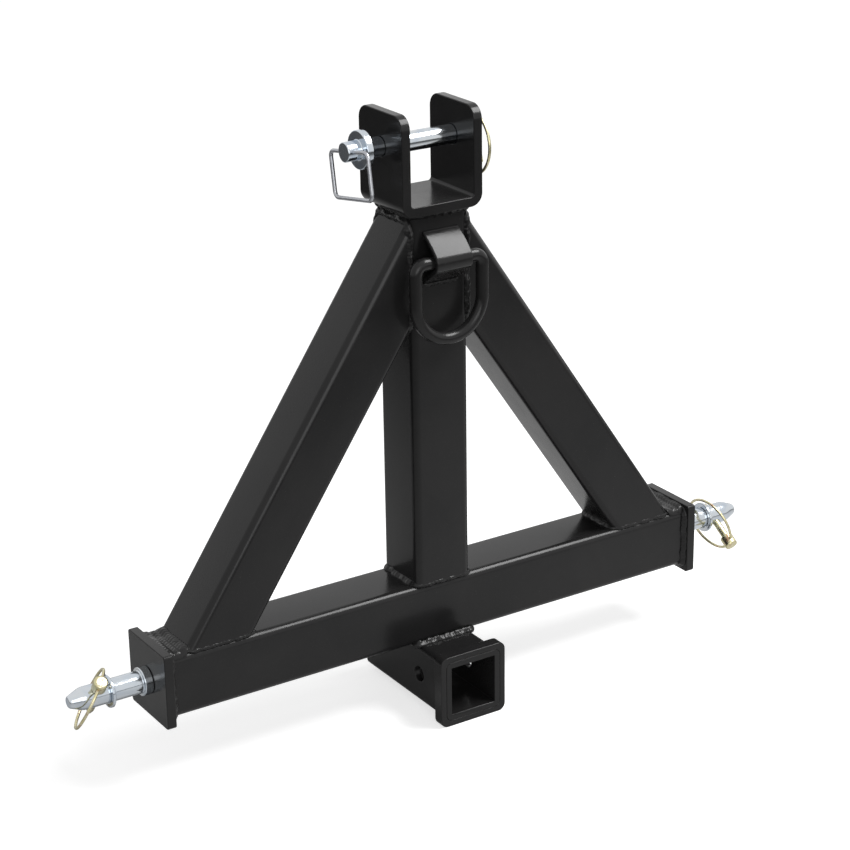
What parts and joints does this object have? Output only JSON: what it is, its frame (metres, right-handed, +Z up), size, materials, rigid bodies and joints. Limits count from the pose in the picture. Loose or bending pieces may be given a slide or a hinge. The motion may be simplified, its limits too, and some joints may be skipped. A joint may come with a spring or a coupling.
{
  "type": "three-point receiver hitch",
  "caption": "Welded A-frame drawbar for a tractor's three-point linkage, with lift pins, a top link clevis and pin, a square receiver tube under the bar and a D-ring on the upright.",
  "frame": {"origin": "middle of the cross hole for the hitch pin, on the centre line of the receiver tube", "axes": "+Z up along the upright, +X to the right seen from the receiver's mouth, along the cross bar and the lift pins, +Y from the receiver's mouth towards its back end"},
  "size_m": [0.794, 0.1524, 0.6108],
  "materials": {
    "black_paint": "satin black powder coat",
    "weld_paint": "satin black powder coat over rippled weld beads",
    "bright_zinc": "bright blue-white zinc plating",
    "yellow_zinc": "yellow zinc plating",
    "spring_wire": "grey zinc-plated spring wire"
  },
  "bodies": {
    "frame": {"cross_tube": "black_paint", "left_end_plate": "black_paint", "right_end_plate": "black_paint", "upright_tube": "black_paint", "left_brace_tube": "black_paint", "right_brace_tube": "black_paint", "top_clevis": "black_paint", "receiver_tube": "black_paint", "receiver_collar": "black_paint", "d_ring_clip": "black_paint", "left_lift_pin": "bright_zinc", "right_lift_pin": "bright_zinc", "left_weld_nut": "bright_zinc", "right_weld_nut": "bright_zinc", "end_plate_welds": "weld_paint", "upright_foot_weld": "weld_paint", "brace_foot_welds": "weld_paint", "brace_top_welds": "weld_paint", "clevis_weld": "weld_paint", "receiver_welds": "weld_paint", "collar_weld": "weld_paint", "clip_welds": "weld_paint"},
    "d_ring": {"d_ring": "black_paint"},
    "top_pin": {"top_link_pin": "bright_zinc"},
    "bail": {"top_pin_bail": "spring_wire"},
    "top_lynch": {"top_lynch_pin": "yellow_zinc"},
    "top_ring": {"top_lynch_ring": "yellow_zinc"},
    "left_washer": {"left_washer": "bright_zinc"},
    "right_washer": {"right_washer": "bright_zinc"},
    "left_lynch": {"left_lynch_pin": "yellow_zinc"},
    "left_ring": {"left_lynch_ring": "yellow_zinc"},
    "right_lynch": {"right_lynch_pin": "yellow_zinc"},
    "right_ring": {"right_lynch_ring": "yellow_zinc"}
  },
  "joints": [
    {"name": "d_ring_swing", "type": "hinge", "parent": "frame", "child": "d_ring", "pos_m": [0, -0.0147, 0.43275], "axis": [-1, 0, 0], "range_deg": [-3, 170]},
    {"name": "top_pin_turn", "type": "hinge", "parent": "frame", "child": "top_pin", "pos_m": [0, 0.03205, 0.53875], "axis": [1, 0, 0], "continuous": true},
    {"name": "bail_swing", "type": "hinge", "parent": "top_pin", "child": "bail", "pos_m": [-0.0784, 0.03205, 0.53875], "axis": [0, 0.986, -0.1668], "range_deg": [-38, 200]},
    {"name": "top_lynch_slide", "type": "slide", "parent": "top_pin", "child": "top_lynch", "axis": [0, 0.7071, 0.7071], "range_m": [0, 0.012]},
    {"name": "top_ring_swing", "type": "hinge", "parent": "top_lynch", "child": "top_ring", "pos_m": [0.05195, 0.04359, 0.55029], "axis": [0, -0.7071, 0.7071], "range_deg": [-3, 150]},
    {"name": "left_washer_slide", "type": "slide", "parent": "frame", "child": "left_washer", "axis": [1, 0, 0], "range_m": [-0.003, 0.031]},
    {"name": "right_washer_slide", "type": "slide", "parent": "frame", "child": "right_washer", "axis": [-1, 0, 0], "range_m": [-0.003, 0.031]},
    {"name": "left_lynch_slide", "type": "slide", "parent": "frame", "child": "left_lynch", "axis": [0, -0.5892, 0.808], "range_m": [0, 0.014]},
    {"name": "left_ring_swing", "type": "hinge", "parent": "left_lynch", "child": "left_ring", "pos_m": [-0.36802, 0.0215, 0.07796], "axis": [0.6428, 0.619, 0.4514], "range_deg": [0, 142]},
    {"name": "right_lynch_slide", "type": "slide", "parent": "frame", "child": "right_lynch", "axis": [0, -0.8396, -0.5432], "range_m": [-0.0195, 0]},
    {"name": "right_ring_swing", "type": "hinge", "parent": "right_lynch", "child": "right_ring", "pos_m": [0.36802, 0.00065, 0.04319], "axis": [0.2079, 0.5313, -0.8213], "range_deg": [0, 160]}
  ]
}
